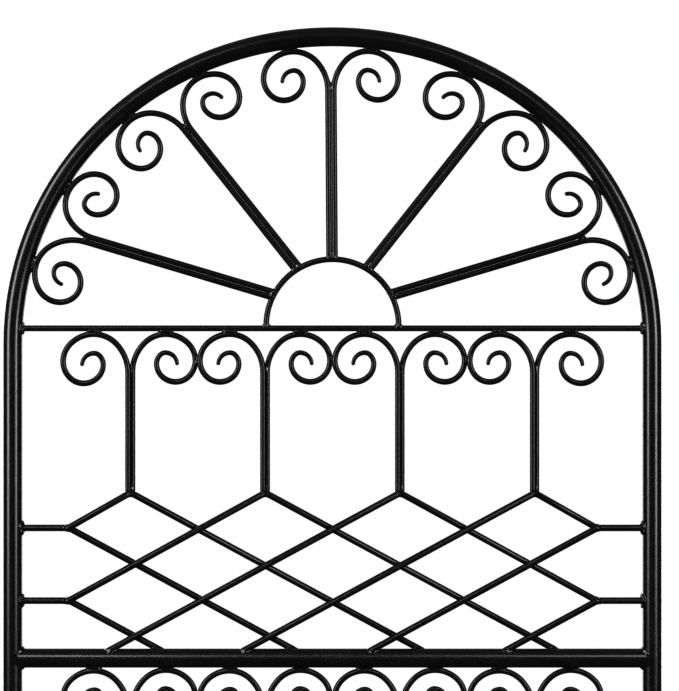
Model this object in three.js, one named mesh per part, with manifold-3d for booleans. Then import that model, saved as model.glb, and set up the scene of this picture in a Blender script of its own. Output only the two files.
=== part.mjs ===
// Arch-top garden trellis: one bent steel tube stands in the soil on two spikes, and is filled with
// welded rod work. From the top down: a fan of scrolled spokes around a hub ring, a cross rod, a row
// of scrolled posts over a diamond lattice, a middle rail, and a taller repeat down to a bottom rail.
// Millimetres. +X runs across the panel, +Y to its back, +Z up; the origin is between the two legs
// at the ground line. Pieces that are welded together keep a small gap for the weld.

import * as THREE from "three";
import { mergeVertices } from "three/addons/utils/BufferGeometryUtils.js";
import Module from "manifold-3d";

// Driving dimensions: frame
const ARCH_TOP = 968;
const FRAME_WIDTH = 457;
const TUBE_DIAMETER = 13;
const TUBE_WALL = 1;
const CROWN_RADIUS = 234;
const SHOULDER_RADIUS = 210;
const TUBE_FOOT = -80;
const SPIKE_TIP = -200;
const SPIKE_DIAMETER = 10;
const SPIKE_POINT_LENGTH = 45;
const SPIKE_GRIP = 40;

// Driving dimensions: levels, measured up from the ground
const FAN_CENTRE = 770;
const CROSS_ROD_LEVEL = 759;
const MIDDLE_RAIL_LEVEL = 530;
const BOTTOM_RAIL_LEVEL = 60;

// Driving dimensions: rods
const ROD_DIAMETER = 4;
const LATTICE_ROD_DIAMETER = 4.5;
const WELD_GAP = 0.3;
const CROSS_ROD_END_GAP = 1.2;
const HUB_RADIUS = 46;
const SPOKE_ANGLES = [163.4, 128.4, 90.4, 51.6, 16.6];
const SPOKE_PAIR_SPACING = 4.1;
const POST_PITCH = 93.6;
const POST_COUNT = 4;
const POST_PAIR_SPACING = 2.7;
const POST_PAIR_STAGGER = 3.3;
const PEAK_HEIGHT = 108.3;
const LATTICE_SLOPE = 0.541;
const LATTICE_LAYER = 2.5;
const PEAK_BEND = 3;
const NODE_X = 183.5;
const UPPER_NODE_DROP = 24.4;
const LOWER_NODE_DROP = 74.9;

// A scroll is a run of ever tighter arcs: one radius for each eighth of a turn, then a longer tip.
const SCROLL_RADII = [29, 21.5, 22.5, 17.3, 15.7, 13.4, 13.9, 12.5, 8.8, 5.4];
const SCROLL_TIP_RADIUS = 8.2;
const SCROLL_TIP_SWEEP = 86;
const POST_SCROLL_SCALE = 0.98;
const OUTER_POST_SCROLL_SCALE = 1.01;
const OPENING_ARCS = 2;
const OPENING_STRETCH = 0.05;

// Fineness of the faceted solids
const TUBE_SIDES = 16;
const ROD_SIDES = 6;
const STRAIGHT_ROD_SIDES = 12;
const BEND_STEPS = 10;
const PEAK_BEND_STEPS = 4;
const SCROLL_STEPS_PER_ARC = 2;

// Tolerances of the workings below
const SEARCH_STEP = 0.05;
const SEARCH_END = 0.01;
const MERGE_DISTANCE = 1e-4;
const STATION_ROUNDING = 1e-6;

// Materials: everything is steel under one satin black powder coat, which lies smoother on the tubes
const COAT_COLOUR = 0x0d0d0d;
const COAT_METALNESS = 0.1;
const TUBE_ROUGHNESS = 0.36;
const ROD_ROUGHNESS = 0.42;

const TUBE_RADIUS = TUBE_DIAMETER / 2;
const ROD_RADIUS = ROD_DIAMETER / 2;
const LATTICE_ROD_RADIUS = LATTICE_ROD_DIAMETER / 2;
const LEG_X = FRAME_WIDTH / 2 - TUBE_RADIUS;
const SHOULDER_X = LEG_X - SHOULDER_RADIUS;
const JOIN_ANGLE = Math.asin(SHOULDER_X / (CROWN_RADIUS - SHOULDER_RADIUS));
const CROWN_DROP = (CROWN_RADIUS - SHOULDER_RADIUS) * Math.cos(JOIN_ANGLE);
const SPRING_LEVEL = ARCH_TOP - TUBE_RADIUS - CROWN_RADIUS + CROWN_DROP;
const CROWN_LEVEL = SPRING_LEVEL - CROWN_DROP;
const HUB_LEVEL = CROSS_ROD_LEVEL + ROD_RADIUS + WELD_GAP;
const QUARTER_TURN = Math.PI / 2;
const SIDES = [["left", -1], ["right", 1]];

const wasm = await Module();
wasm.setup();

const trellis = new THREE.Group();

function addPiece(name, geometry, roughness = ROD_ROUGHNESS) {
  const coat = new THREE.MeshStandardMaterial({
    color: COAT_COLOUR, roughness, metalness: COAT_METALNESS });
  const mesh = new THREE.Mesh(geometry, coat);
  mesh.name = name;
  trellis.add(mesh);
}

// A line through given stations. Each station is one step of the sweep, so a straight takes one step.
class StationLine extends THREE.Curve {
  constructor(stations) {
    super();
    this.stations = stations;
  }

  getPoint(t, target = new THREE.Vector3()) {
    const last = this.stations.length - 1;
    const index = Math.min(Math.floor(t * last + STATION_ROUNDING), last - 1);
    return target.lerpVectors(this.stations[index], this.stations[index + 1], t * last - index);
  }

  getPointAt(u, target) {
    return this.getPoint(u, target);
  }

  getTangentAt(u, target = new THREE.Vector3()) {
    const last = this.stations.length - 1;
    const index = Math.round(u * last);
    const before = this.stations[Math.max(index - 1, 0)];
    const here = this.stations[index];
    const after = this.stations[Math.min(index + 1, last)];
    const incoming = here.clone().sub(before).normalize();
    const outgoing = after.clone().sub(here).normalize();
    return target.addVectors(incoming, outgoing).normalize();
  }
}

// The corners of a regular polygon, turned by a part of the angle between two of them
function polygon(cornerRadius, sides, turn = 0) {
  return Array.from({ length: sides }, (_, side) => {
    const angle = (2 * Math.PI * (side + turn)) / sides;
    return new THREE.Vector2(cornerRadius * Math.cos(angle), cornerRadius * Math.sin(angle));
  });
}

function sweep(section, stations) {
  return new THREE.ExtrudeGeometry(section, {
    steps: stations.length - 1,
    extrudePath: new StationLine(stations),
    bevelEnabled: false,
  });
}

// A bent rod of few sides, with the section area of a round one. turn 0 puts a corner of the section
// at the front of a flat bend, and 0.5 puts a face there.
function bentRod(radius, stations, turn = 0) {
  const step = (2 * Math.PI) / ROD_SIDES;
  const cornerRadius = radius * Math.sqrt(step / Math.sin(step));
  return sweep(new THREE.Shape(polygon(cornerRadius, ROD_SIDES, turn)), stations);
}

function straightRod(start, end, radius) {
  const length = start.distanceTo(end);
  const rod = new THREE.CylinderGeometry(radius, radius, length, STRAIGHT_ROD_SIDES);
  const along = end.clone().sub(start).normalize();
  rod.applyQuaternion(new THREE.Quaternion().setFromUnitVectors(new THREE.Vector3(0, 1, 0), along));
  const middle = start.clone().lerp(end, 0.5);
  return rod.translate(middle.x, middle.y, middle.z);
}

function tubeSection() {
  const section = new THREE.Shape(polygon(TUBE_RADIUS, TUBE_SIDES));
  section.holes.push(new THREE.Path(polygon(TUBE_RADIUS - TUBE_WALL, TUBE_SIDES)));
  return section;
}

// Frame: one tube bent into two legs, two shoulder arcs and a flatter crown arc

function arcStations(centreX, centreZ, radius, fromAngle, toAngle) {
  return Array.from({ length: BEND_STEPS }, (_, step) => {
    const angle = THREE.MathUtils.lerp(fromAngle, toAngle, step / BEND_STEPS);
    return new THREE.Vector3(
      centreX + radius * Math.sin(angle), 0, centreZ + radius * Math.cos(angle));
  });
}

function frameStations() {
  return [
    new THREE.Vector3(-LEG_X, 0, TUBE_FOOT),
    ...arcStations(-SHOULDER_X, SPRING_LEVEL, SHOULDER_RADIUS, -QUARTER_TURN, -JOIN_ANGLE),
    ...arcStations(0, CROWN_LEVEL, CROWN_RADIUS, -JOIN_ANGLE, JOIN_ANGLE),
    ...arcStations(SHOULDER_X, SPRING_LEVEL, SHOULDER_RADIUS, JOIN_ANGLE, QUARTER_TURN),
    new THREE.Vector3(LEG_X, 0, SPRING_LEVEL),
    new THREE.Vector3(LEG_X, 0, TUBE_FOOT),
  ];
}

// How far a point inside the arch is from the centreline of the frame tube
function distanceToFrame(point) {
  if (point.z < SPRING_LEVEL) {
    return LEG_X - Math.abs(point.x);
  }
  const fromCrown = Math.atan2(Math.abs(point.x), point.z - CROWN_LEVEL);
  if (fromCrown < JOIN_ANGLE) {
    return CROWN_RADIUS - Math.hypot(point.x, point.z - CROWN_LEVEL);
  }
  return SHOULDER_RADIUS - Math.hypot(Math.abs(point.x) - SHOULDER_X, point.z - SPRING_LEVEL);
}

addPiece("frame_tube", sweep(tubeSection(), frameStations()), TUBE_ROUGHNESS);

// Ground spikes: solid pins pushed up into the open feet of the frame tube
function groundSpike(x) {
  const radius = SPIKE_DIAMETER / 2;
  const outline = [
    new THREE.Vector2(0, SPIKE_TIP),
    new THREE.Vector2(radius, SPIKE_TIP + SPIKE_POINT_LENGTH),
    new THREE.Vector2(radius, TUBE_FOOT + SPIKE_GRIP),
    new THREE.Vector2(0, TUBE_FOOT + SPIKE_GRIP),
  ];
  const spike = new THREE.LatheGeometry(outline, STRAIGHT_ROD_SIDES);
  return spike.rotateX(QUARTER_TURN).translate(x, 0, 0);
}

addPiece("ground_spike_left", groundSpike(-LEG_X));
addPiece("ground_spike_right", groundSpike(LEG_X));

// Rails: tubes with ends coped to fit round the legs
function solidOf(geometry) {
  const bare = geometry.clone();
  bare.deleteAttribute("normal");
  bare.deleteAttribute("uv");
  const merged = mergeVertices(bare, MERGE_DISTANCE);
  return new wasm.Manifold(new wasm.Mesh({
    numProp: 3,
    vertProperties: new Float32Array(merged.attributes.position.array),
    triVerts: new Uint32Array(merged.index.array),
  }));
}

function geometryOf(solid) {
  const mesh = solid.getMesh();
  const geometry = new THREE.BufferGeometry();
  geometry.setAttribute("position", new THREE.BufferAttribute(mesh.vertProperties, 3));
  geometry.setIndex(new THREE.BufferAttribute(mesh.triVerts, 1));
  geometry.computeVertexNormals();
  return geometry;
}

function railTube(level) {
  const left = new THREE.Vector3(-LEG_X, 0, level);
  const right = new THREE.Vector3(LEG_X, 0, level);
  let rail = solidOf(sweep(tubeSection(), [left, right]));
  for (const end of [left, right]) {
    const below = end.clone().setZ(level - TUBE_DIAMETER);
    const above = end.clone().setZ(level + TUBE_DIAMETER);
    rail = rail.subtract(solidOf(straightRod(below, above, TUBE_RADIUS + WELD_GAP)));
  }
  return geometryOf(rail);
}

addPiece("middle_rail", railTube(MIDDLE_RAIL_LEVEL), TUBE_ROUGHNESS);
addPiece("bottom_rail", railTube(BOTTOM_RAIL_LEVEL), TUBE_ROUGHNESS);

// Cross rod: butts on the insides of the frame, which has begun to lean in at this level
const crossRodReach = LEG_X - TUBE_RADIUS - CROSS_ROD_END_GAP;
addPiece("cross_rod", straightRod(
  new THREE.Vector3(-crossRodReach, 0, CROSS_ROD_LEVEL),
  new THREE.Vector3(crossRodReach, 0, CROSS_ROD_LEVEL),
  ROD_RADIUS));

// Hub ring: a half ring with both ends standing on the cross rod
function hubRing() {
  const steps = 2 * BEND_STEPS;
  const stations = Array.from({ length: steps + 1 }, (_, step) => {
    const angle = THREE.MathUtils.lerp(-QUARTER_TURN, QUARTER_TURN, step / steps);
    return new THREE.Vector3(
      HUB_RADIUS * Math.sin(angle), 0, HUB_LEVEL + HUB_RADIUS * Math.cos(angle));
  });
  return bentRod(ROD_RADIUS, stations);
}

addPiece("hub_ring", hubRing());

// Scrolled rods: a straight stem that ends in a scroll curling to one side
const arcSweep = Math.PI / 4;
const scrollArcs = [
  ...SCROLL_RADII.map((radius) => ({ radius, sweep: arcSweep })),
  { radius: SCROLL_TIP_RADIUS, sweep: THREE.MathUtils.degToRad(SCROLL_TIP_SWEEP) },
];

// Scroll centreline as (out, along) pairs, out to the side of the stem and along from the curl start.
// opening stretches only the first quarter turn, which leads the rod away from its stem.
function scrollLine(scale, opening = 1) {
  const line = [new THREE.Vector2(0, 0)];
  let heading = 0;
  for (const [index, arc] of scrollArcs.entries()) {
    const radius = arc.radius * scale * (index < OPENING_ARCS ? opening : 1);
    const start = line.at(-1);
    for (let step = 1; step <= SCROLL_STEPS_PER_ARC; step += 1) {
      const angle = heading + (arc.sweep * step) / SCROLL_STEPS_PER_ARC;
      line.push(new THREE.Vector2(
        start.x + radius * (Math.cos(heading) - Math.cos(angle)),
        start.y + radius * (Math.sin(angle) - Math.sin(heading))));
    }
    heading += arc.sweep;
  }
  return line;
}

// stem: { origin, angle, side, offset, layer }. side is 1 for a scroll that curls clockwise off the
// stem and -1 for one that curls the other way; offset is half the spacing of the pair.
function placeOnStem(stem, out, along) {
  const sideways = stem.side * (stem.offset + out);
  const cosine = Math.cos(stem.angle);
  const sine = Math.sin(stem.angle);
  return new THREE.Vector3(
    stem.origin.x + along * cosine + sideways * sine,
    stem.layer,
    stem.origin.z + along * sine - sideways * cosine);
}

function scrolledRod(stem, foot, curlStart, line) {
  const scroll = line.map((point) => placeOnStem(stem, point.x, curlStart + point.y));
  return bentRod(ROD_RADIUS, [placeOnStem(stem, 0, foot), ...scroll]);
}

// Fan: five spokes of two scrolled rods each, from the hub ring out to the frame
const fanOrigin = new THREE.Vector3(0, 0, FAN_CENTRE);
const MIDDLE_SPOKE = (SPOKE_ANGLES.length - 1) / 2;

// How far out along a spoke its scroll can start before it meets the frame tube
function curlStartAtFrame(stem, line) {
  const clearance = TUBE_RADIUS + ROD_RADIUS + WELD_GAP;
  let near = HUB_RADIUS;
  let far = SHOULDER_RADIUS;
  while (far - near > SEARCH_END) {
    const tried = (near + far) / 2;
    const gaps = line.map((point) => distanceToFrame(placeOnStem(stem, point.x, tried + point.y)));
    if (Math.min(...gaps) > clearance) {
      near = tried;
    } else {
      far = tried;
    }
  }
  return near;
}

// How far out along a spoke the outside of the hub ring lies
function footOnHub(stem) {
  const reach = HUB_RADIUS + ROD_RADIUS + 2 * WELD_GAP;
  let foot = 0;
  let point = placeOnStem(stem, 0, foot);
  while (Math.hypot(point.x, point.z - HUB_LEVEL) < reach) {
    foot += SEARCH_STEP;
    point = placeOnStem(stem, 0, foot);
  }
  return foot;
}

// A scroll opens a little wider on the side of its spoke that faces the nearer leg, and tighter on
// the side that faces the crown. The middle spoke is even.
SPOKE_ANGLES.forEach((degrees, index) => {
  for (const [sideName, side] of SIDES) {
    const stem = {
      origin: fanOrigin,
      angle: THREE.MathUtils.degToRad(degrees),
      side,
      offset: SPOKE_PAIR_SPACING / 2,
      layer: 0,
    };
    const towardsLeg = index === MIDDLE_SPOKE ? 0 : Math.sign(Math.cos(stem.angle)) * side;
    const line = scrollLine(1, 1 + towardsLeg * OPENING_STRETCH);
    const rod = scrolledRod(stem, footOnHub(stem), curlStartAtFrame(stem, line), line);
    addPiece(`fan_scroll_${index + 1}_${sideName}`, rod);
  }
});

// Posts: pairs of scrolled rods hanging under a rod or rail and standing on the lattice peaks.
// The two rods of a pair are staggered front to back, so they touch although they stand close.
const postXs = Array.from({ length: POST_COUNT }, (_, index) =>
  (index - (POST_COUNT - 1) / 2) * POST_PITCH);

function addPostRow(rowName, scrollTop, latticePeak) {
  const foot = latticePeak + LATTICE_ROD_RADIUS + WELD_GAP;
  postXs.forEach((x, index) => {
    for (const [sideName, side] of SIDES) {
      const hasNeighbour = index + side >= 0 && index + side < POST_COUNT;
      const line = scrollLine(hasNeighbour ? POST_SCROLL_SCALE : OUTER_POST_SCROLL_SCALE);
      const rise = Math.max(...line.map((point) => point.y));
      const stem = {
        origin: new THREE.Vector3(x, 0, 0),
        angle: QUARTER_TURN,
        side,
        offset: POST_PAIR_SPACING / 2,
        layer: (side * POST_PAIR_STAGGER) / 2,
      };
      const rod = scrolledRod(stem, foot, scrollTop - ROD_RADIUS - rise, line);
      addPiece(`${rowName}_scroll_${index + 1}_${sideName}`, rod);
    }
  });
}

// Lattice: rods that slope down to the right lie behind those that slope down to the left
function bentLatticeRod(peakX, peakZ, leftEnd, rightEnd) {
  const bend = new THREE.QuadraticBezierCurve3(
    new THREE.Vector3(peakX - PEAK_BEND, -LATTICE_LAYER, peakZ - PEAK_BEND * LATTICE_SLOPE),
    new THREE.Vector3(peakX, 0, peakZ),
    new THREE.Vector3(peakX + PEAK_BEND, LATTICE_LAYER, peakZ - PEAK_BEND * LATTICE_SLOPE));
  return bentRod(
    LATTICE_ROD_RADIUS, [leftEnd, ...bend.getPoints(PEAK_BEND_STEPS), rightEnd], 0.5);
}

// Where a rod that starts at (x, z) and falls away from it to one side lands on a rail
function landing(x, z, side, railTop) {
  const level = railTop + LATTICE_ROD_RADIUS;
  return new THREE.Vector3(
    x + (side * (z - level)) / LATTICE_SLOPE, side * LATTICE_LAYER, level);
}

function addLattice(rowName, railLevel) {
  const railTop = railLevel + TUBE_RADIUS;
  const peakZ = railTop + PEAK_HEIGHT;
  const drops = [UPPER_NODE_DROP, LOWER_NODE_DROP];
  const nodeLevels = drops.map((drop) => peakZ - drop);

  // A peak's rod reaches a side node while the node is nearer than the rail, and else the rail
  postXs.forEach((x, index) => {
    const leftNode = nodeLevels[index];
    const rightNode = nodeLevels[POST_COUNT - 1 - index];
    const leftEnd = leftNode === undefined
      ? landing(x, peakZ, -1, railTop)
      : new THREE.Vector3(-NODE_X, -LATTICE_LAYER, leftNode);
    const rightEnd = rightNode === undefined
      ? landing(x, peakZ, 1, railTop)
      : new THREE.Vector3(NODE_X, LATTICE_LAYER, rightNode);
    addPiece(`${rowName}_lattice_peak_${index + 1}`, bentLatticeRod(x, peakZ, leftEnd, rightEnd));
  });

  nodeLevels.forEach((level, index) => {
    for (const [sideName, side] of SIDES) {
      const node = new THREE.Vector3(side * NODE_X, -side * LATTICE_LAYER, level);
      const end = landing(node.x, node.z, -side, railTop);
      addPiece(`${rowName}_lattice_side_${sideName}_${index + 1}`,
        straightRod(node, end, LATTICE_ROD_RADIUS));
      addPiece(`${rowName}_stub_${sideName}_${index + 1}`, straightRod(
        new THREE.Vector3(side * (NODE_X + LATTICE_ROD_RADIUS + WELD_GAP), 0, level),
        new THREE.Vector3(side * (LEG_X - TUBE_RADIUS - WELD_GAP), 0, level),
        LATTICE_ROD_RADIUS));
    }
  });
  return peakZ;
}

const upperPeak = addLattice("upper", MIDDLE_RAIL_LEVEL);
addPostRow("upper", CROSS_ROD_LEVEL - ROD_RADIUS, upperPeak);
const lowerPeak = addLattice("lower", BOTTOM_RAIL_LEVEL);
addPostRow("lower", MIDDLE_RAIL_LEVEL - TUBE_RADIUS, lowerPeak);

export default trellis;
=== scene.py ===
"""Looks of the arch-top garden trellis: round coated rods and tubes with real weld beads at every joint.

Metres, in the frame of the CAD model: +X across the panel, +Y to its back, +Z up, ground line at z = 0.
Every CAD node is replaced by a finely rounded piece on the same centreline. The welds are extra pieces:
each one is grown from the distances to the rods that meet in it, so it fills the corner between them.
"""

import math

import bmesh
import bpy
import numpy as np
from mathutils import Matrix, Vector


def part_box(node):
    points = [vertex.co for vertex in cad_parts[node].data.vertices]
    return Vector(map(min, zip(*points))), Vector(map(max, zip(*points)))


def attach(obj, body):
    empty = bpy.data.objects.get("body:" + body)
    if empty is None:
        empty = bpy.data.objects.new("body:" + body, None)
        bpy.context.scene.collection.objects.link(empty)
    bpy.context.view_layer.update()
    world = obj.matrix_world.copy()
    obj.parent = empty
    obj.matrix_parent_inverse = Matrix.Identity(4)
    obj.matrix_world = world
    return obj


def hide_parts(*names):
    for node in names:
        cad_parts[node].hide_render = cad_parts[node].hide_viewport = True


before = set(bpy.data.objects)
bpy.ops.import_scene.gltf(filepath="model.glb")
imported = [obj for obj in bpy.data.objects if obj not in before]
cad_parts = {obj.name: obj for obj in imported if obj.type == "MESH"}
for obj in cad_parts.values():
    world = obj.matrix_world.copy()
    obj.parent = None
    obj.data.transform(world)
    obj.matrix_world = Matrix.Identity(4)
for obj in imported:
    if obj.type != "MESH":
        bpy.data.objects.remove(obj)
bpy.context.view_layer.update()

# Sizes that the frame gives
tube_low, tube_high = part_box("frame_tube")
TUBE_RADIUS = (tube_high.y - tube_low.y) / 2
LEG_X = tube_high.x - TUBE_RADIUS
ARCH_TOP = tube_high.z
TUBE_FOOT = tube_low.z
SPIKE_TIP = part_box("ground_spike_left")[0].z


def middle_level(node):
    low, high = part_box(node)
    return (low.z + high.z) / 2


CROSS_ROD_LEVEL = middle_level("cross_rod")
RAILS = {"upper": "middle_rail", "lower": "bottom_rail"}
RAIL_LEVELS = {row: middle_level(rail) for row, rail in RAILS.items()}

# Driving dimensions that the rods follow, as in the CAD model
TUBE_WALL = 0.001
CROWN_RADIUS = 0.234
SHOULDER_RADIUS = 0.210
ROD_RADIUS = 0.002
LATTICE_ROD_RADIUS = 0.00225
HUB_RADIUS = 0.046
FAN_CENTRE = 0.770
SPOKE_ANGLES = [163.4, 128.4, 90.4, 51.6, 16.6]
SPOKE_PAIR_SPACING = 0.0041
POST_PITCH = 0.0936
POST_COUNT = 4
POST_PAIR_SPACING = 0.0027
POST_PAIR_STAGGER = 0.0033
PEAK_HEIGHT = 0.1083
PEAK_BEND = 0.003
LATTICE_SLOPE = 0.541
LATTICE_LAYER = 0.0022
NODE_X = 0.1835
NODE_DROPS = [0.0244, 0.0749]
SCROLL_RADII = [0.029, 0.0215, 0.0225, 0.0173, 0.0157, 0.0134, 0.0139, 0.0125, 0.0088, 0.0054]
SCROLL_TIP_RADIUS = 0.0082
SCROLL_TIP_SWEEP = math.radians(86)
POST_SCROLL_SCALE = 0.98
OUTER_POST_SCROLL_SCALE = 1.01
OPENING_ARCS = 2
OPENING_STRETCH = 0.05

QUARTER = math.pi / 2
EIGHTH_TURN = math.pi / 4
SIDES = {"left": -1, "right": 1}

# The bent frame: two shoulder arcs and a flatter crown arc
SHOULDER_X = LEG_X - SHOULDER_RADIUS
JOIN_ANGLE = math.asin(SHOULDER_X / (CROWN_RADIUS - SHOULDER_RADIUS))
CROWN_DROP = (CROWN_RADIUS - SHOULDER_RADIUS) * math.cos(JOIN_ANGLE)
SPRING_LEVEL = ARCH_TOP - TUBE_RADIUS - CROWN_RADIUS + CROWN_DROP
CROWN_LEVEL = SPRING_LEVEL - CROWN_DROP

# Fineness of the surfaces
TUBE_SIDES = 48
ROD_SIDES = 20
FRAME_STEP = math.radians(2)
HUB_STEP = math.radians(4)
LEG_STEPS = 16
RAIL_POINTS = 26
SHANK_POINTS = 8
PEAK_STEPS = 10
SCROLL_STEPS_PER_ARC = 7


# Materials


# How fine the coat's cloudiness, gloss patches, orange peel and grain are, in cycles per metre
CLOUD_SCALE = 55.0
GLOSS_SCALE = 140.0
PEEL_SCALE = 1100.0
GRAIN_SCALE = 4200.0

# How deep its orange peel and its grain are
PEEL_DEPTH = 0.00005
GRAIN_DEPTH = 0.000005

# The greys that its colour varies between, and the levels of noise that give the ends of a variation
COAT_GREYS = (0.006, 0.011)
CLOUD_LEVELS = (0.3, 0.75)
GLOSS_LEVELS = (0.3, 0.72)

# Scratches in the spikes' coat, and the steel that they bare
SCRATCH_SCALE = 2600.0
SCRATCH_STRETCH = 16.0
SCRATCH_LEVELS = (0.52, 0.64)
BARE_STEEL = 0.12

# How much bluer than neutral every grey is
COOLNESS = 1.03


def link(tree, source, output, target, socket):
    """Links one node's output to another's input, both given by name or number."""
    tree.links.new(source.outputs[output], target.inputs[socket])


def coordinate_noise(tree, scale, detail, roughness=0.5, upright=1.0):
    """Noise over the piece's own coordinates, in cycles per metre; upright draws its features out along Z."""
    place = tree.nodes.new("ShaderNodeTexCoord")
    stretch = tree.nodes.new("ShaderNodeMapping")
    stretch.inputs["Scale"].default_value = (1.0, 1.0, 1.0 / upright)
    noise = tree.nodes.new("ShaderNodeTexNoise")
    noise.inputs["Scale"].default_value = scale
    noise.inputs["Detail"].default_value = detail
    noise.inputs["Roughness"].default_value = roughness
    link(tree, place, "Object", stretch, "Vector")
    link(tree, stretch, "Vector", noise, "Vector")
    return noise


def grey(value):
    return (value, value, value * COOLNESS, 1.0)


def grey_ramp(tree, noise, levels, greys):
    """Turns a noise into greys, from the first grey at its lower level to the second at its upper one."""
    ramp = tree.nodes.new("ShaderNodeValToRGB")
    for element, level, value in zip(ramp.color_ramp.elements, levels, greys):
        element.position, element.color = level, grey(value)
    link(tree, noise, "Fac", ramp, "Fac")
    return ramp


def map_range(tree, source, output, from_range, to_range=(0.0, 1.0), interpolation="LINEAR"):
    """Carries an output over from one range of values to another, and stops at its ends."""
    spread = tree.nodes.new("ShaderNodeMapRange")
    spread.interpolation_type = interpolation
    spread.inputs["From Min"].default_value, spread.inputs["From Max"].default_value = from_range
    spread.inputs["To Min"].default_value, spread.inputs["To Max"].default_value = to_range
    link(tree, source, output, spread, "Value")
    return spread


def relief(tree, noise, strength, depth):
    """A noise as bumps of a depth in metres."""
    bump = tree.nodes.new("ShaderNodeBump")
    bump.inputs["Strength"].default_value = strength
    bump.inputs["Distance"].default_value = depth
    link(tree, noise, "Fac", bump, "Height")
    return bump


def powder_coat(name, smooth, rough, peel, refraction=1.5):
    """Satin black powder coat: a faint orange-peel skin, its roughness patchy between smooth and rough."""
    material = bpy.data.materials.new(name)
    material.use_nodes = True
    tree = material.node_tree
    shader = tree.nodes["Principled BSDF"]
    shader.inputs["Metallic"].default_value = 0.0
    shader.inputs["IOR"].default_value = refraction

    cloud = coordinate_noise(tree, CLOUD_SCALE, detail=3.0)
    tone = grey_ramp(tree, cloud, CLOUD_LEVELS, COAT_GREYS)
    link(tree, tone, "Color", shader, "Base Color")

    patch = coordinate_noise(tree, GLOSS_SCALE, detail=4.0, roughness=0.6)
    gloss = grey_ramp(tree, patch, GLOSS_LEVELS, (smooth, rough))
    link(tree, gloss, "Color", shader, "Roughness")

    orange_peel = relief(tree, coordinate_noise(tree, PEEL_SCALE, detail=2.0), peel, PEEL_DEPTH)
    grain = relief(tree, coordinate_noise(tree, GRAIN_SCALE, detail=1.0), peel, GRAIN_DEPTH)
    link(tree, orange_peel, "Normal", grain, "Normal")
    link(tree, grain, "Normal", shader, "Normal")
    return material


def scuff_below(material, top, bottom):
    """Rubs the coat off in long scratches, more of them from one height down to another, to dark steel."""
    tree = material.node_tree
    shader = tree.nodes["Principled BSDF"]
    scratches = coordinate_noise(tree, SCRATCH_SCALE, detail=3.0, roughness=0.65, upright=SCRATCH_STRETCH)
    rubbed = grey_ramp(tree, scratches, SCRATCH_LEVELS, (0.0, 1.0))
    place = tree.nodes.new("ShaderNodeTexCoord")
    level = tree.nodes.new("ShaderNodeSeparateXYZ")
    link(tree, place, "Object", level, "Vector")
    depth = map_range(tree, level, "Z", (top, bottom))
    worn = tree.nodes.new("ShaderNodeMath")
    worn.operation = "MULTIPLY"
    link(tree, rubbed, "Color", worn, 0)
    link(tree, depth, "Result", worn, 1)

    coat = tree.nodes.new("ShaderNodeMixRGB")
    coat.inputs["Color2"].default_value = grey(BARE_STEEL)
    tree.links.new(shader.inputs["Base Color"].links[0].from_socket, coat.inputs["Color1"])
    link(tree, worn, "Value", coat, "Fac")
    link(tree, coat, "Color", shader, "Base Color")
    link(tree, worn, "Value", shader, "Metallic")


tube_coat = powder_coat("tube_coat", smooth=0.22, rough=0.28, peel=0.022)
rod_coat = powder_coat("rod_coat", smooth=0.22, rough=0.28, peel=0.010, refraction=1.40)
weld_coat = powder_coat("weld_coat", smooth=0.12, rough=0.18, peel=0.06)
spike_coat = powder_coat("spike_coat", smooth=0.30, rough=0.45, peel=0.20)
scuff_below(spike_coat, TUBE_FOOT, SPIKE_TIP)


# Meshes


def add_piece(name, vertices, faces, material, nodes=()):
    """Makes a smooth-shaded mesh piece on the one rigid body, and lets it stand for its CAD nodes."""
    mesh = bpy.data.meshes.new(name)
    mesh.from_pydata([tuple(vertex) for vertex in vertices], [], [tuple(face) for face in faces])
    work = bmesh.new()
    work.from_mesh(mesh)
    bmesh.ops.recalc_face_normals(work, faces=work.faces)
    work.to_mesh(mesh)
    work.free()
    mesh.polygons.foreach_set("use_smooth", [True] * len(mesh.polygons))
    mesh.materials.append(material)
    piece = bpy.data.objects.new(name, mesh)
    bpy.context.scene.collection.objects.link(piece)
    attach(piece, "root")
    if nodes:
        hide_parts(*nodes)


def ring_surface(path, radii, sides):
    """Rings of points round a path that nowhere runs along Y, one ring for each of its points."""
    path = np.asarray(path, float)
    steps = np.diff(path, axis=0)
    steps /= np.linalg.norm(steps, axis=1)[:, None]
    tangents = np.vstack([steps[:1], steps[:-1] + steps[1:], steps[-1:]])
    tangents /= np.linalg.norm(tangents, axis=1)[:, None]
    depth = np.array([0.0, 1.0, 0.0]) - tangents[:, 1:2] * tangents
    depth /= np.linalg.norm(depth, axis=1)[:, None]
    across = np.cross(tangents, depth)
    angles = 2 * math.pi * np.arange(sides) / sides
    spokes = (
        np.cos(angles)[None, :, None] * across[:, None, :]
        + np.sin(angles)[None, :, None] * depth[:, None, :])
    return path[:, None, :] + np.asarray(radii, float)[:, None, None] * spokes


def ring_faces(ring_count, sides, closed=False):
    faces = []
    for ring in range(ring_count if closed else ring_count - 1):
        following = (ring + 1) % ring_count
        for side in range(sides):
            beside = (side + 1) % sides
            faces.append((
                ring * sides + side, ring * sides + beside,
                following * sides + beside, following * sides + side))
    if not closed:
        faces.append(tuple(range(sides)))
        faces.append(tuple((ring_count - 1) * sides + side for side in range(sides)))
    return faces


# The rings of a dome, the length of a cropped end's dome, and how far inside an end its support ring is
DOME_ANGLES = np.radians([22, 42, 60, 74, 84])
CROPPED_DOME = 0.0006
EDGE_RING = 0.0003

# A scroll's drawn-out tip: its radius, the length of its dome and how far back it begins to thin
TIP_RADIUS = 0.00135
TIP_DOME = TIP_RADIUS * 0.9
TIP_TAPER = 0.045


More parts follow.
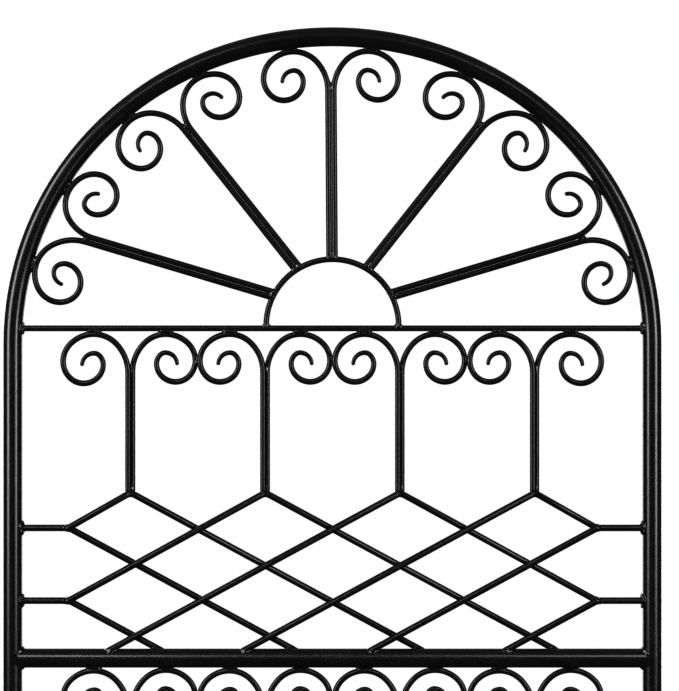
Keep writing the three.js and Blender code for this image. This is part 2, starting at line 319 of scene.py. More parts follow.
def rounded_ends(path, radii, start_length, end_length):
    """The path and its radii, with each end drawn in to a dome of the given length.

    A ring close inside each end keeps the dome's shading from running along the rod.
    """
    lead_in = (path[0] - path[1]) / np.linalg.norm(path[0] - path[1])
    lead_out = (path[-1] - path[-2]) / np.linalg.norm(path[-1] - path[-2])
    dome_in = [path[0] + lead_in * start_length * math.sin(angle) for angle in DOME_ANGLES[::-1]]
    dome_out = [path[-1] + lead_out * end_length * math.sin(angle) for angle in DOME_ANGLES]
    narrowing = np.cos(DOME_ANGLES)
    inner_start, inner_end = path[0] - lead_in * EDGE_RING, path[-1] - lead_out * EDGE_RING
    path = np.vstack([dome_in, path[:1], inner_start, path[1:-1], inner_end, path[-1:], dome_out])
    first, last = np.full(2, radii[0]), np.full(2, radii[-1])
    radii = np.concatenate([radii[0] * narrowing[::-1], first, radii[1:-1], last, radii[-1] * narrowing])
    return path, radii


def drawn_out(path, radius):
    """The radii along a rod whose last stretch is drawn out to a thinner tip."""
    steps = np.linalg.norm(np.diff(path, axis=0), axis=1)
    to_tip = np.append(np.cumsum(steps[::-1])[::-1], 0.0)
    part = np.clip(to_tip / TIP_TAPER, 0, 1)
    return TIP_RADIUS + (radius - TIP_RADIUS) * part * (2 - part)


# Every rod's centreline and radius, which the welds are grown from
skeleton = {}


def add_rod(node, path, radius, drawn_tip=False):
    """A round rod, cropped square at its ends or, as a scroll is, drawn out to a round thinner tip."""
    path = np.asarray(path, float)
    skeleton[node] = (path, radius)
    if drawn_tip:
        radii, end_dome = drawn_out(path, radius), TIP_DOME
    else:
        radii, end_dome = np.full(len(path), radius), CROPPED_DOME
    fine_path, radii = rounded_ends(path, radii, CROPPED_DOME, end_dome)
    rings = ring_surface(fine_path, radii, ROD_SIDES)
    faces = ring_faces(len(rings), ROD_SIDES)
    add_piece(f"{node}_steel", rings.reshape(-1, 3), faces, rod_coat, [node])


# Frame tube, rails and spikes


# The softened rim of a tube's foot, the gap at a coped end, and how far short of the middle of a leg the
# line that its weld is grown from ends
TUBE_RIM = 0.0002
COPE_GAP = 0.0003
END_IN_LEG = TUBE_RADIUS * 0.35


def arc(centre_x, centre_z, radius, from_angle, to_angle, step=FRAME_STEP):
    """Points of an arc in the panel, its angles measured from straight up, without its last one."""
    count = max(2, math.ceil(abs(to_angle - from_angle) / step))
    angles = np.linspace(from_angle, to_angle, count, endpoint=False)
    return [(centre_x + radius * math.sin(a), 0.0, centre_z + radius * math.cos(a)) for a in angles]


def leg_line(side, start, end):
    """Points of a leg from one level towards another, without the last one."""
    return [(side * LEG_X, 0.0, level) for level in np.linspace(start, end, LEG_STEPS, endpoint=False)]


def frame_path():
    return [
        *leg_line(-1, TUBE_FOOT, SPRING_LEVEL),
        *arc(-SHOULDER_X, SPRING_LEVEL, SHOULDER_RADIUS, -QUARTER, -JOIN_ANGLE),
        *arc(0, CROWN_LEVEL, CROWN_RADIUS, -JOIN_ANGLE, JOIN_ANGLE),
        *arc(SHOULDER_X, SPRING_LEVEL, SHOULDER_RADIUS, JOIN_ANGLE, QUARTER),
        *leg_line(1, SPRING_LEVEL, TUBE_FOOT),
        (LEG_X, 0, TUBE_FOOT),
    ]


def add_frame_tube():
    """A tube wall: rings out along the outside of the bend and back along its bore."""
    path = frame_path()
    skeleton["frame_tube"] = (np.asarray(path, float), TUBE_RADIUS)
    bore = TUBE_RADIUS - TUBE_WALL
    outer = np.full(len(path), TUBE_RADIUS)
    outer[[0, -1]] = TUBE_RADIUS - TUBE_RIM
    inner = np.full(len(path), bore)
    inner[[0, -1]] = bore + TUBE_RIM
    outside = ring_surface(path, outer, TUBE_SIDES)
    inside = ring_surface(path, inner, TUBE_SIDES)[::-1]
    rings = np.concatenate([outside, inside])
    faces = ring_faces(len(rings), TUBE_SIDES, closed=True)
    add_piece("frame_tube_steel", rings.reshape(-1, 3), faces, tube_coat, ["frame_tube"])


def frame_x(level):
    """How far from the middle the centreline of the frame is at a level below its shoulders' joins."""
    if level <= SPRING_LEVEL:
        return LEG_X
    return SHOULDER_X + math.sqrt(SHOULDER_RADIUS**2 - (level - SPRING_LEVEL) ** 2)


def coped_between_legs(node, level, radius, sides, material):
    """A straight member whose two ends are cut to saddles that fit round the legs."""
    reach = frame_x(level)
    end = reach - END_IN_LEG
    skeleton[node] = (np.array([(-end, 0, level), (end, 0, level)]), radius)
    path = np.linspace((-reach, 0, level), (reach, 0, level), RAIL_POINTS)
    rings = ring_surface(path, np.full(len(path), radius), sides)
    saddle = reach - np.sqrt(np.maximum((TUBE_RADIUS + COPE_GAP) ** 2 - rings[0][:, 1] ** 2, 0.0))
    rings[0][:, 0], rings[1][:, 0] = -saddle, EDGE_RING - saddle
    rings[-1][:, 0], rings[-2][:, 0] = saddle, saddle - EDGE_RING
    faces = ring_faces(len(rings), sides)
    add_piece(f"{node}_steel", rings.reshape(-1, 3), faces, material, [node])


SPIKE_RADIUS = 0.005
SPIKE_POINT_LENGTH = 0.045
SPIKE_GRIP = 0.040
SPIKE_CHAMFER = 0.0005

# Heights above the tip with their radii, and heights from the shoulder with what it takes off the radius
SPIKE_NOSE = [(0.0, 0.0003), (0.0004, 0.0007), (0.0012, 0.0010)]
SPIKE_SHOULDER = [(-0.0015, 0.00022), (0.0, 0.00008), (0.0015, 0.0)]


def add_spike(side_name, side):
    """A solid pin with a long point, a softened tip and a softened shoulder where the point begins."""
    shoulder, top = SPIKE_TIP + SPIKE_POINT_LENGTH, TUBE_FOOT + SPIKE_GRIP
    profile = [
        *((SPIKE_TIP + height, radius) for height, radius in SPIKE_NOSE),
        *((shoulder + height, SPIKE_RADIUS - less) for height, less in SPIKE_SHOULDER),
        (TUBE_FOOT, SPIKE_RADIUS),
        (top - SPIKE_CHAMFER, SPIKE_RADIUS),
        (top, SPIKE_RADIUS - SPIKE_CHAMFER),
    ]
    path = [(side * LEG_X, 0, level) for level, _ in profile]
    rings = ring_surface(path, [radius for _, radius in profile], TUBE_SIDES)
    faces = ring_faces(len(rings), TUBE_SIDES)
    node = f"ground_spike_{side_name}"
    add_piece(f"{node}_steel", rings.reshape(-1, 3), faces, spike_coat, [node])


add_frame_tube()
for row, rail in RAILS.items():
    coped_between_legs(rail, RAIL_LEVELS[row], TUBE_RADIUS, TUBE_SIDES, tube_coat)
coped_between_legs("cross_rod", CROSS_ROD_LEVEL, ROD_RADIUS, ROD_SIDES, rod_coat)
for side_name, side in SIDES.items():
    add_spike(side_name, side)


# Hub ring


def add_hub_ring():
    sunk = CROSS_ROD_LEVEL + ROD_RADIUS / 2
    level = CROSS_ROD_LEVEL + ROD_RADIUS
    path = [
        (-HUB_RADIUS, 0, sunk),
        *arc(0, level, HUB_RADIUS, -QUARTER, QUARTER, HUB_STEP),
        (HUB_RADIUS, 0, level), (HUB_RADIUS, 0, sunk),
    ]
    add_rod("hub_ring", path, ROD_RADIUS)


add_hub_ring()


# Scrolls


MIDDLE_SPOKE = 3

# How far outside the middle of the hub ring's rod a spoke's foot stands
FOOT_STANDOFF = ROD_RADIUS * 0.7

# The steps of the search for a spoke's foot, and how close the search for its scroll's start comes
FOOT_STEP = 0.0001
CURL_START_ERROR = 1e-6


def scroll_line(scale, opening=1.0):
    """A scroll's centreline as (out, along) pairs from where it leaves its stem."""
    arcs = [(radius, EIGHTH_TURN) for radius in SCROLL_RADII]
    arcs.append((SCROLL_TIP_RADIUS, SCROLL_TIP_SWEEP))
    line = [(0.0, 0.0)]
    heading = 0.0
    for index, (radius, turn) in enumerate(arcs):
        bend = radius * scale * (opening if index < OPENING_ARCS else 1.0)
        out, along = line[-1]
        for step in range(1, SCROLL_STEPS_PER_ARC + 1):
            angle = heading + turn * step / SCROLL_STEPS_PER_ARC
            line.append((
                out + bend * (math.cos(heading) - math.cos(angle)),
                along + bend * (math.sin(angle) - math.sin(heading))))
        heading += turn
    return line


class Stem:
    """Where a scrolled rod stands: its origin, direction, side of the pair and depth in the panel."""

    def __init__(self, x, z, angle, side, offset, layer=0.0):
        self.x, self.z, self.angle = x, z, angle
        self.side, self.offset, self.layer = side, offset, layer

    def place(self, out, along):
        sideways = self.side * (self.offset + out)
        cosine, sine = math.cos(self.angle), math.sin(self.angle)
        return (
            self.x + along * cosine + sideways * sine,
            self.layer,
            self.z + along * sine - sideways * cosine)

    def path(self, foot, curl_start, line):
        shank = np.linspace(self.place(0, foot), self.place(0, curl_start), SHANK_POINTS)[:-1]
        return [*map(tuple, shank), *(self.place(out, curl_start + along) for out, along in line)]


def distance_to_frame(point):
    """How far a point inside the arch is from the centreline of the frame tube."""
    x, _, z = point
    if z < SPRING_LEVEL:
        return LEG_X - abs(x)
    if math.atan2(abs(x), z - CROWN_LEVEL) < JOIN_ANGLE:
        return CROWN_RADIUS - math.hypot(x, z - CROWN_LEVEL)
    return SHOULDER_RADIUS - math.hypot(abs(x) - SHOULDER_X, z - SPRING_LEVEL)


def curl_start_at_frame(stem, line):
    """How far out along a spoke its scroll can start, so that it just touches the frame tube."""
    near, far = HUB_RADIUS, SHOULDER_RADIUS
    while far - near > CURL_START_ERROR:
        tried = (near + far) / 2
        gap = min(distance_to_frame(stem.place(out, tried + along)) for out, along in line)
        if gap > TUBE_RADIUS + ROD_RADIUS:
            near = tried
        else:
            far = tried
    return near


def foot_on_hub(stem):
    """How far out along a spoke its rod meets the hub ring."""
    foot = 0.0
    while True:
        x, _, z = stem.place(0, foot)
        if math.hypot(x, z - CROSS_ROD_LEVEL - ROD_RADIUS) > HUB_RADIUS + FOOT_STANDOFF:
            return foot
        foot += FOOT_STEP


fan_joints = []
for number, degrees in enumerate(SPOKE_ANGLES, start=1):
    for side_name, side in SIDES.items():
        angle = math.radians(degrees)
        stem = Stem(0.0, FAN_CENTRE, angle, side, SPOKE_PAIR_SPACING / 2)
        towards_leg = 0 if number == MIDDLE_SPOKE else math.copysign(1, math.cos(angle) * side)
        line = scroll_line(1.0, 1.0 + towards_leg * OPENING_STRETCH)
        foot, curl_start = foot_on_hub(stem), curl_start_at_frame(stem, line)
        node = f"fan_scroll_{number}_{side_name}"
        add_rod(node, stem.path(foot, curl_start, line), ROD_RADIUS, drawn_tip=True)
        scroll = [stem.place(out, curl_start + along) for out, along in line]
        contact = min(scroll, key=distance_to_frame)
        fan_joints.append((node, stem, foot, curl_start, contact))


# Lattices


# How deep a lattice rod lands in its rail, and where the stubs start and end
LANDING_SINK = LATTICE_ROD_RADIUS * 0.4
STUB_START = NODE_X + 0.0005
STUB_END = LEG_X - TUBE_RADIUS * 0.9


def landing(x, z, side, rail_top):
    """Where a lattice rod that falls away to one side from (x, z) sinks into the top of its rail."""
    level = rail_top - LANDING_SINK
    return (x + side * (z - level) / LATTICE_SLOPE, side * LATTICE_LAYER, level)


def bend_over_peak(x, z):
    """The rod's rounded peak, where it passes from the front layer of the lattice to the back one."""
    shoulder = z - PEAK_BEND * LATTICE_SLOPE
    first = np.array([x - PEAK_BEND, -LATTICE_LAYER, shoulder])
    top = np.array([x, 0.0, z])
    last = np.array([x + PEAK_BEND, LATTICE_LAYER, shoulder])
    part = np.linspace(0, 1, PEAK_STEPS + 1)[:, None]
    return list(map(tuple, (1 - part) ** 2 * first + 2 * part * (1 - part) * top + part**2 * last))


post_xs = [(index - (POST_COUNT - 1) / 2) * POST_PITCH for index in range(POST_COUNT)]
lattice_nodes = []
lattice_landings = []


def add_lattice(row):
    """The peaked rods, the straight side rods and the stubs above one rail; gives the level of the peaks."""
    rail = RAILS[row]
    rail_top = RAIL_LEVELS[row] + TUBE_RADIUS
    peak = rail_top + PEAK_HEIGHT
    node_levels = [peak - drop for drop in NODE_DROPS]
    numbers = range(1, len(node_levels) + 1)
    meeting = {(side, number): [] for side in SIDES.values() for number in numbers}

    for index, x in enumerate(post_xs):
        node = f"{row}_lattice_peak_{index + 1}"
        ends = {}
        for side in SIDES.values():
            number = index + 1 if side < 0 else POST_COUNT - index
            if number in numbers:
                ends[side] = (side * NODE_X, side * LATTICE_LAYER, node_levels[number - 1])
                meeting[side, number].append(node)
            else:
                ends[side] = landing(x, peak, side, rail_top)
                lattice_landings.append((node, rail, ends[side]))
        add_rod(node, [ends[-1], *bend_over_peak(x, peak), ends[1]], LATTICE_ROD_RADIUS)

    for number, level in enumerate(node_levels, start=1):
        for side_name, side in SIDES.items():
            top = (side * NODE_X, -side * LATTICE_LAYER, level)
            node = f"{row}_lattice_side_{side_name}_{number}"
            end = landing(top[0], level, -side, rail_top)
            add_rod(node, [top, end], LATTICE_ROD_RADIUS)
            lattice_landings.append((node, rail, end))
            stub = f"{row}_stub_{side_name}_{number}"
            stub_line = [(side * STUB_START, 0, level), (side * STUB_END, 0, level)]
            add_rod(stub, stub_line, LATTICE_ROD_RADIUS)
            members = [*meeting[side, number], node, stub]
            lattice_nodes.append((row, members, (side * NODE_X, 0, level), stub, side))
    return peak


# Post rows


POST_FOOT_RISE = LATTICE_ROD_RADIUS * 0.8
post_joints = []


def add_post_row(row, ceiling, ceiling_radius, ceiling_level, peak):
    """Pairs of scrolled rods that hang under a rod or rail and stand on the peaks of the lattice."""
    foot = peak + POST_FOOT_RISE
    for index, x in enumerate(post_xs):
        for side_name, side in SIDES.items():
            has_neighbour = 0 <= index + side < POST_COUNT
            line = scroll_line(POST_SCROLL_SCALE if has_neighbour else OUTER_POST_SCROLL_SCALE)
            rise = max(along for _, along in line)
            layer = side * POST_PAIR_STAGGER / 2
            stem = Stem(x, 0.0, QUARTER, side, POST_PAIR_SPACING / 2, layer)
            curl_start = ceiling_level - ceiling_radius - ROD_RADIUS - rise
            node = f"{row}_scroll_{index + 1}_{side_name}"
            add_rod(node, stem.path(foot, curl_start, line), ROD_RADIUS, drawn_tip=True)
            top = max(line, key=lambda point: point[1])
            widest = max(line, key=lambda point: point[0])
            post_joints.append({
                "row": row, "node": node, "index": index, "side": side, "ceiling": ceiling,
                "stem": stem, "foot": foot, "curl_start": curl_start,
                "top": stem.place(top[0], curl_start + top[1]),
                "widest": stem.place(widest[0], curl_start + widest[1])})


upper_peak = add_lattice("upper")
add_post_row("upper", "cross_rod", ROD_RADIUS, CROSS_ROD_LEVEL, upper_peak)
lower_peak = add_lattice("lower")
add_post_row("lower", "middle_rail", TUBE_RADIUS, RAIL_LEVELS["upper"], lower_peak)


# Welds


LUMP_SEED = 7
LUMP_CELLS = 16
LUMP_TABLE = np.random.default_rng(LUMP_SEED).uniform(-1, 1, (LUMP_CELLS,) * 3)


def smoothstep(part):
    return part * part * (3 - 2 * part)


def lumps(points, size):
    """Smooth random values between -1 and 1 over space, with features of the given size."""
    cell = points / size
    corner = np.floor(cell).astype(int)
    part = smoothstep(cell - corner)
    value = np.zeros(len(points))
    for dx, dy, dz in np.ndindex(2, 2, 2):
        weight = (
            np.where(dx, part[:, 0], 1 - part[:, 0])
            * np.where(dy, part[:, 1], 1 - part[:, 1])
            * np.where(dz, part[:, 2], 1 - part[:, 2]))
        index = (corner + (dx, dy, dz)) % LUMP_CELLS
        value += weight * LUMP_TABLE[index[:, 0], index[:, 1], index[:, 2]]
    return value


def distance_to_line(points, path, centre, reach):
    """Distance to the stretches of a line that pass within reach of a centre."""
    nearest = np.full(len(points), np.inf)
    for start, end in zip(path[:-1], path[1:]):
        span = end - start
        length_squared = span @ span
        along = np.clip((centre - start) @ span / length_squared, 0, 1)
        if np.linalg.norm(start + along * span - centre) > reach:
            continue
        offset = points - start
        along = np.clip(offset @ span / length_squared, 0, 1)
        nearest = np.minimum(nearest, np.linalg.norm(offset - along[:, None] * span, axis=1))
    return nearest


def nearest_point(node, place):
    """The point of a member's centreline that is nearest to a place."""
    path = skeleton[node][0]
    start, span = path[:-1], np.diff(path, axis=0)
    along = np.clip(((place - start) * span).sum(axis=1) / (span * span).sum(axis=1), 0, 1)
    candidates = start + along[:, None] * span
    return candidates[np.argmin(np.linalg.norm(candidates - place, axis=1))]


def smooth_union(first, second, leg):
    """Both solids together, with the corner between them filled for the length of a leg."""
    overlap = np.clip((leg - np.abs(first - second)) / leg, 0, 1)
    return np.minimum(first, second) - overlap**2 * leg / 4, overlap


def surface_net(values, low, step):
    """Vertices and quads of the surface where a grid of distances changes sign."""
    inside = values < 0
    shape = np.array(values.shape)
    cells = tuple(shape - 1)
    total = np.zeros(cells + (3,))
    crossings = np.zeros(cells)
    for axis in range(3):
        for beside in np.ndindex(2, 2):
            offset = np.insert(beside, axis, 0)
            near = tuple(slice(o, o + c) for o, c in zip(offset, cells))
            offset[axis] = 1
            far = tuple(slice(o, o + c) for o, c in zip(offset, cells))
            crossed = inside[near] != inside[far]
            step_in = np.where(crossed, values[near] / np.where(crossed, values[near] - values[far], 1), 0)
            offset[axis] = 0
            total += crossed[..., None] * offset
            total[..., axis] += step_in
            crossings += crossed
    used = crossings > 0
    number = np.full(cells, -1)
    number[used] = np.arange(used.sum())
    vertices = low + step * (np.argwhere(used) + total[used] / crossings[used][:, None])

    quads = []
    for axis in range(3):
        near = tuple(slice(0, -1) if a == axis else slice(None) for a in range(3))
        far = tuple(slice(1, None) if a == axis else slice(None) for a in range(3))
        starts = np.argwhere(inside[near] != inside[far])
        second, third = (axis + 1) % 3, (axis + 2) % 3
        corners = []
        for back_second, back_third in ((0, 0), (1, 0), (1, 1), (0, 1)):
            cell = starts.copy()
            cell[:, second] -= back_second
            cell[:, third] -= back_third
            corners.append(number[tuple(cell.T)])
        quads.append(np.stack(corners, axis=1))
    return vertices, np.concatenate(quads)


# The grid that welds are grown on, and how far they sink in where they fill nothing
WELD_GRID = 0.0004
WELD_SINK = 0.00007

# The part of its reach at which a weld begins to fade, and how far from the panel's middle it may stand out
FADE_START = 0.5
WELD_DEPTH = TUBE_RADIUS - 0.00003

# The size of the lumps in a weld, their height on a fillet, and their height on a bead as part of its radius
LUMP_SIZE = 0.0015
FILLET_LUMPS = 0.0003
BEAD_LUMPS = 0.34

# The legs of the corner at the foot of a bead, and of a corner that isn't filled at all
BEAD_TOE = 0.0007
NO_LENGTH = 1e-6

# How far each weld reaches from its centre, and how long the legs of its fillet are
RAIL_WELD = {"reach": 0.0115, "fillet": 0.0016}
CROSS_ROD_WELD = {"reach": 0.0070, "fillet": 0.0022}
SPIKE_WELD = {"reach": 0.0075, "fillet": 0.0}
HUB_WELD = {"reach": 0.0050, "fillet": 0.0024}
SPOKE_FOOT_WELD = {"reach": 0.0050, "fillet": 0.0018}
ARCH_WELD = {"reach": 0.0085, "fillet": 0.0018}
CEILING_WELD = {"reach": 0.0085, "fillet": 0.0020}
FORK_WELD = {"reach": 0.0055, "fillet": 0.0022}
POST_FOOT_WELD = {"reach": 0.0048, "fillet": 0.0018}
NEIGHBOUR_WELD = {"reach": 0.0055, "fillet": 0.0024}
NODE_WELD = {"reach": 0.0060, "fillet": 0.0022}
STUB_WELD = {"reach": 0.0078, "fillet": 0.0026}
LANDING_WELD = {"reach": 0.0075, "fillet": 0.0018}

# Radii of the beads, and how far outside a thin member's skin the bead round its end runs
RAIL_BEAD = 0.0015
CROSS_ROD_BEAD = 0.0014
CROSS_ROD_CLEARANCE = 0.0008
STUB_BEAD = 0.0016
STUB_CLEARANCE = 0.0010
SPIKE_BEAD = 0.0009
SPIKE_CLEARANCE = 0.0002
ARCH_BEAD = 0.0010
CEILING_BEAD = 0.0011
FORK_BEAD = 0.0011
NEIGHBOUR_BEAD = 0.0014

# The angles of a round bead's points, and how far under the front of the leg it keeps, in its own radii
BEAD_TURNS = np.linspace(0, 2 * math.pi, 33)
BEAD_INSET = 0.75

# Half the length of a bead along a seam, and how far in front of or behind the rod's middle it lies
SEAM_HALF_LENGTH = 0.0032
SEAM_DEPTH = 0.0016

# The ends of short beads, from the middle of their weld
FORK_TACK = [(0, -0.0012, 0), (0, -0.0011, 0)]
NEIGHBOUR_TACK = [(0.0004, -0.0018, -0.0004), (0.0004, -0.0018, 0.0004)]

# How far beyond the start of its scrolls the weld in the fork of a pair is
SPOKE_FORK = 0.004
POST_FORK = 0.003


class WeldRow:
    """Collects the welds of one part of the trellis into a single piece."""

    def __init__(self, name, slot):
        self.name, self.slot = name, slot
        self.vertices, self.faces, self.count = [], [], 0

    def join(self, members, centre, reach, fillet, beads=()):
        """Grows the weld between members round a centre, inside a ball of the given reach.

        The corner between the members is filled, with legs as long as the fillet, and each bead, a line
        and its radius, lies on top. Where nothing fills it, the weld sinks just under the members' skin.
        """
        centre = np.asarray(centre, float)
        starts, ends = centre - reach - WELD_GRID, centre + reach + 2 * WELD_GRID
        axes = [np.arange(start, end, WELD_GRID) for start, end in zip(starts, ends)]
        shape = tuple(len(axis) for axis in axes)
        points = np.stack(np.meshgrid(*axes, indexing="ij"), axis=-1).reshape(-1, 3)
        away = np.linalg.norm(points - centre, axis=1) / reach
        fade = smoothstep(np.clip((away - FADE_START) / (1 - FADE_START), 0, 1))
        bumps = lumps(points, LUMP_SIZE)

        surface = np.full(len(points), reach)
        filled = np.zeros(len(points))
        for number, node in enumerate(members):
            path, radius = skeleton[node]
            distance = distance_to_line(points, path, centre, reach + 2 * radius) - radius
            leg = fillet * (1 - fade) + NO_LENGTH if number else NO_LENGTH
            surface, overlap = smooth_union(surface, distance, leg)
            filled = np.maximum(filled, overlap)
        surface += WELD_SINK * (1 - filled) - FILLET_LUMPS * bumps * filled * (1 - fade)
        for line, radius in beads:
            distance = distance_to_line(points, np.asarray(line, float), centre, reach + radius)
            surface, _ = smooth_union(surface, distance - radius * (1 + BEAD_LUMPS * bumps), BEAD_TOE)
        surface = np.maximum(surface, (away - 1) * reach)
        surface = np.maximum(surface, np.abs(points[:, 1]) - WELD_DEPTH)

        low = np.array([axis[0] for axis in axes])
        vertices, faces = surface_net(surface.reshape(shape), low, WELD_GRID)
        self.vertices.append(vertices)
        self.faces.append(faces + self.count)
        self.count += len(vertices)

    def finish(self):
        add_piece(self.name, np.concatenate(self.vertices), np.concatenate(self.faces), weld_coat)


def saddle_bead(side, leg_x, level, radius, bead_radius):
    """A bead round the end of a member, along the curve where its skin meets the leg.

    It stays on the member's side of the leg's middle, so that no step shows on the leg.
    """
    sines, cosines = np.sin(BEAD_TURNS), np.cos(BEAD_TURNS)
    depth = min(radius, TUBE_RADIUS - bead_radius * BEAD_INSET) * sines
    skin = np.sqrt(TUBE_RADIUS**2 - np.minimum(radius * sines, TUBE_RADIUS) ** 2)
    skin = np.maximum(skin, bead_radius)
    line = np.stack([side * (leg_x - skin), depth, level + radius * cosines], axis=1)
    return line, bead_radius


def seam_beads(here, other, bead_radius):
    """Beads in front of and behind the seam where a rod touches another member beside a point of its own."""
    here = np.asarray(here, float)
    out = (nearest_point(other, here) - here) * (1, 0, 1)
    out /= np.linalg.norm(out)
    along = np.array([-out[2], 0.0, out[0]]) * SEAM_HALF_LENGTH
    seams = [here + out * ROD_RADIUS + (0, face * SEAM_DEPTH, 0) for face in (-1, 1)]
    return [([seam - along, seam, seam + along], bead_radius) for seam in seams]


def spike_bead(side):
    """The bead that closes the foot of a leg round its spike."""
    ring = SPIKE_RADIUS + SPIKE_CLEARANCE
    across, depth = ring * np.cos(BEAD_TURNS), ring * np.sin(BEAD_TURNS)
    line = np.stack([side * LEG_X + across, depth, np.full(len(BEAD_TURNS), TUBE_FOOT)], axis=1)
    return line, SPIKE_BEAD


def tack_bead(centre, ends, bead_radius):
    """A short bead, its ends given from a centre."""
    return [centre + end for end in ends], bead_radius


def weld_frame():
    welds = WeldRow("frame_welds", "tube_coat")
    for side in SIDES.values():
        for row, rail in RAILS.items():
            level = RAIL_LEVELS[row]
            centre = (side * (LEG_X - TUBE_RADIUS / 2), 0, level)
            bead = saddle_bead(side, LEG_X, level, TUBE_RADIUS, RAIL_BEAD)
            welds.join(["frame_tube", rail], centre, **RAIL_WELD, beads=[bead])
        leg_x = frame_x(CROSS_ROD_LEVEL)
        centre = (side * (leg_x - TUBE_RADIUS), 0, CROSS_ROD_LEVEL)
        bead = saddle_bead(side, leg_x, CROSS_ROD_LEVEL, ROD_RADIUS + CROSS_ROD_CLEARANCE, CROSS_ROD_BEAD)
        welds.join(["frame_tube", "cross_rod"], centre, **CROSS_ROD_WELD, beads=[bead])
        welds.join([], (side * LEG_X, 0, TUBE_FOOT), **SPIKE_WELD, beads=[spike_bead(side)])
    welds.finish()


def weld_fan():
    welds = WeldRow("fan_welds", "rod_coat")
    for side in SIDES.values():
        foot = (side * HUB_RADIUS, 0, CROSS_ROD_LEVEL + ROD_RADIUS)
        welds.join(["cross_rod", "hub_ring"], foot, **HUB_WELD)
    for node, stem, foot, curl_start, contact in fan_joints:
        beads = seam_beads(contact, "frame_tube", ARCH_BEAD)
        welds.join(["frame_tube", node], contact, **ARCH_WELD, beads=beads)
        if stem.side > 0:
            pair = [node, node.replace("right", "left")]
            low = stem.place(-stem.offset, foot)
            fork = np.array(stem.place(-stem.offset, curl_start + SPOKE_FORK))
            welds.join(["hub_ring", *pair], low, **SPOKE_FOOT_WELD)
            welds.join(pair, fork, **FORK_WELD, beads=[tack_bead(fork, FORK_TACK, FORK_BEAD)])
    welds.finish()


def weld_posts(row):
    welds = WeldRow(f"{row}_row_welds", "rod_coat")
    joints = [joint for joint in post_joints if joint["row"] == row]
    for joint in joints:
        x, y, z = joint["top"]
        beads = seam_beads((x, y / 2, z), joint["ceiling"], CEILING_BEAD)
        members = [joint["ceiling"], joint["node"]]
        welds.join(members, (x, y / 2, z + ROD_RADIUS), **CEILING_WELD, beads=beads)
        if joint["side"] < 0:
            continue
        node, stem = joint["node"], joint["stem"]
        pair = [node, node.replace("right", "left")]
        fork = (stem.x, 0, joint["curl_start"] + POST_FORK)
        foot = (stem.x, 0, joint["foot"])
        number = joint["index"] + 1
        welds.join(pair, fork, **FORK_WELD)
        welds.join([f"{row}_lattice_peak_{number}", *pair], foot, **POST_FOOT_WELD)
        if number < POST_COUNT:
            x, _, z = joint["widest"]
            middle = np.array([x + ROD_RADIUS, 0, z])
            neighbour = f"{row}_scroll_{number + 1}_left"
            bead = tack_bead(middle, NEIGHBOUR_TACK, NEIGHBOUR_BEAD)
            welds.join([node, neighbour], middle, **NEIGHBOUR_WELD, beads=[bead])
    welds.finish()


def weld_lattice(row):
    welds = WeldRow(f"{row}_lattice_welds", "rod_coat")
    for row_name, members, centre, stub, side in lattice_nodes:
        if row_name == row:
            level = centre[2]
            welds.join(members, centre, **NODE_WELD)
            bead = saddle_bead(side, LEG_X, level, LATTICE_ROD_RADIUS + STUB_CLEARANCE, STUB_BEAD)
            stub_end = (side * (LEG_X - TUBE_RADIUS), 0, level)
            welds.join(["frame_tube", stub], stub_end, **STUB_WELD, beads=[bead])
    for node, rail, end in lattice_landings:
        if node.startswith(row):
            welds.join([rail, node], end, **LANDING_WELD)
    welds.finish()


weld_frame()
weld_fan()
for row in RAILS:
    weld_posts(row)
    weld_lattice(row)


# Stage, light and camera


FLOOR_RADIUS = 4.0
FLOOR_SIDES = 96
FLOOR_GAP = 0.0005
FLOOR_ROUGHNESS = 0.9

# The floor's faint cloudiness: its scale, the greys it varies between and the levels of noise that give them
FLOOR_CLOUD_SCALE = 6.0
FLOOR_GREYS = (0.80, 0.84)
FLOOR_LEVELS = (0.3, 0.7)

# The floor's glow at a distance near its middle and at one far out
FLOOR_DISTANCES = (0.5, 3.0)
FLOOR_GLOW = (0.30, 1.3)

# The room's glow in a direction a little below level and in one high overhead
ROOM_HEIGHTS = (-0.25, 0.8)
ROOM_GLOW = (0.08, 0.55)


def pale_floor():
    """A matt, nearly white material that glows more and more towards the floor's edge."""
    material = bpy.data.materials.new("pale_floor")
    material.use_nodes = True
    tree = material.node_tree
    shader = tree.nodes["Principled BSDF"]
    shader.inputs["Roughness"].default_value = FLOOR_ROUGHNESS
    cloud = coordinate_noise(tree, FLOOR_CLOUD_SCALE, detail=3.0)
    tone = grey_ramp(tree, cloud, FLOOR_LEVELS, FLOOR_GREYS)
    link(tree, tone, "Color", shader, "Base Color")
    link(tree, tone, "Color", shader, "Emission Color")
    place = tree.nodes.new("ShaderNodeTexCoord")
    distance = tree.nodes.new("ShaderNodeVectorMath")
    distance.operation = "LENGTH"
    link(tree, place, "Object", distance, 0)
    glow = map_range(tree, distance, "Value", FLOOR_DISTANCES, FLOOR_GLOW, "SMOOTHSTEP")
    link(tree, glow, "Result", shader, "Emission Strength")
    return material


def add_floor():
    """A plain pale round floor just under the tips of the spikes, which runs out into white."""
    work = bmesh.new()
    bmesh.ops.create_circle(work, cap_ends=True, radius=FLOOR_RADIUS, segments=FLOOR_SIDES)
    mesh = bpy.data.meshes.new("floor")
    work.to_mesh(mesh)
    work.free()
    floor = bpy.data.objects.new("floor", mesh)
    floor.location.z = SPIKE_TIP - FLOOR_GAP
    bpy.context.scene.collection.objects.link(floor)
    mesh.materials.append(pale_floor())
    floor.visible_glossy = False


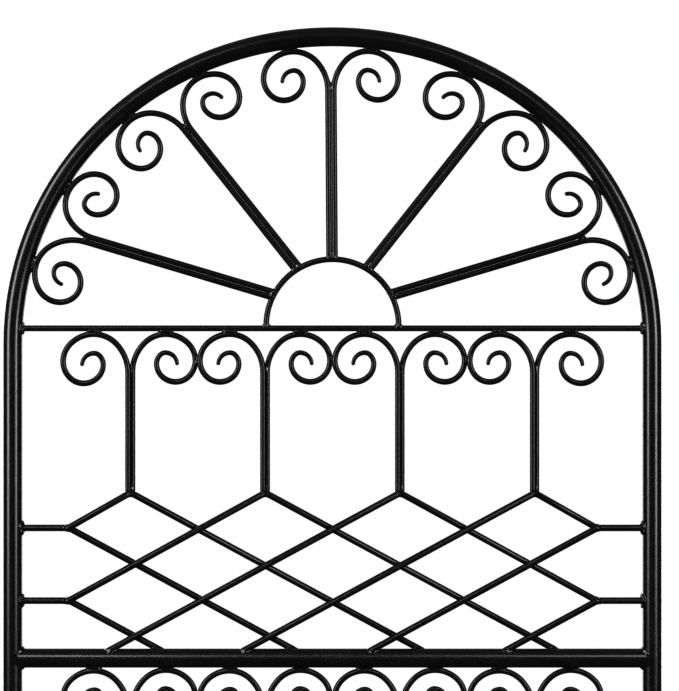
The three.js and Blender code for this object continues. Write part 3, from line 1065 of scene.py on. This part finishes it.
def add_soft_box(name, place, aim, size, watts, spread=180):
    """A rectangular light that the camera doesn't see; its spread is in degrees."""
    data = bpy.data.lights.new(name, "AREA")
    data.shape = "RECTANGLE"
    data.size, data.size_y = size
    data.energy = watts
    data.spread = math.radians(spread)
    light = bpy.data.objects.new(name, data)
    light.location = place
    light.rotation_euler = (Vector(aim) - Vector(place)).to_track_quat("-Z", "Y").to_euler()
    light.visible_camera = False
    bpy.context.scene.collection.objects.link(light)


def add_world():
    """White where the camera looks past the trellis; round it a room, dark below and dim overhead."""
    world = bpy.data.worlds.new("studio")
    world.use_nodes = True
    tree = world.node_tree
    tree.nodes.clear()
    direction = tree.nodes.new("ShaderNodeTexCoord")
    height = tree.nodes.new("ShaderNodeSeparateXYZ")
    link(tree, direction, "Generated", height, "Vector")
    overhead = map_range(tree, height, "Z", ROOM_HEIGHTS, ROOM_GLOW, "SMOOTHSTEP")
    room = tree.nodes.new("ShaderNodeBackground")
    link(tree, overhead, "Result", room, "Strength")
    backdrop = tree.nodes.new("ShaderNodeBackground")
    backdrop.inputs["Color"].default_value = (1, 1, 1, 1)
    path = tree.nodes.new("ShaderNodeLightPath")
    mix = tree.nodes.new("ShaderNodeMixShader")
    link(tree, path, "Is Camera Ray", mix, "Fac")
    link(tree, room, "Background", mix, 1)
    link(tree, backdrop, "Background", mix, 2)
    output = tree.nodes.new("ShaderNodeOutputWorld")
    link(tree, mix, "Shader", output, "Surface")
    bpy.context.scene.world = world


VIEW_CENTRE = Vector((0.0049, 0.0, 0.7471))
VIEW_HEIGHT = 0.4799
CAMERA_DISTANCE = 1.7
SENSOR_HEIGHT = 36.0


def add_camera():
    """Level with the middle of the view, which takes in the arch and the top of the middle rail."""
    data = bpy.data.cameras.new("camera")
    data.sensor_fit = "VERTICAL"
    data.sensor_height = SENSOR_HEIGHT
    data.lens = SENSOR_HEIGHT * CAMERA_DISTANCE / VIEW_HEIGHT
    camera = bpy.data.objects.new("camera", data)
    camera.location = VIEW_CENTRE + Vector((0, -CAMERA_DISTANCE, 0))
    camera.rotation_euler = (QUARTER, 0, 0)
    bpy.context.scene.collection.objects.link(camera)
    bpy.context.scene.camera = camera


add_floor()
add_world()
add_camera()
add_soft_box("left_box", place=(-2.0, -1.45, 1.36), aim=(0, 0, 1.36), size=(1.10, 2.0), watts=92)
add_soft_box("right_box", place=(2.25, -2.05, 1.20), aim=(0, 0, 1.20), size=(1.2, 1.8), watts=100)
for side_name, side in SIDES.items():
    add_soft_box(
        f"low_{side_name}_box", place=(side * 1.25, -1.95, -0.08), aim=(side * -0.19, 0, 0.87),
        size=(0.4, 0.8), watts=0.07, spread=12)
    add_soft_box(
        f"back_{side_name}_box", place=(side * 0.95, 2.0, 1.0), aim=(0, 0, 1.0),
        size=(0.6, 2.0), watts=16)
for side_name, watts in (("left", 0.66), ("right", 0.50)):
    side = SIDES[side_name]
    add_soft_box(
        f"upper_{side_name}_box", place=(side * 0.66, -1.4, 1.40), aim=(side * 0.30, 0, 0.50),
        size=(0.8, 0.60), watts=watts, spread=22)

# A gamma under 1 keeps thin black rods as bold as they look to the eye
THIN_ROD_GAMMA = 0.6
bpy.context.scene.view_settings.view_transform = "Standard"
bpy.context.scene.view_settings.gamma = THIN_ROD_GAMMA
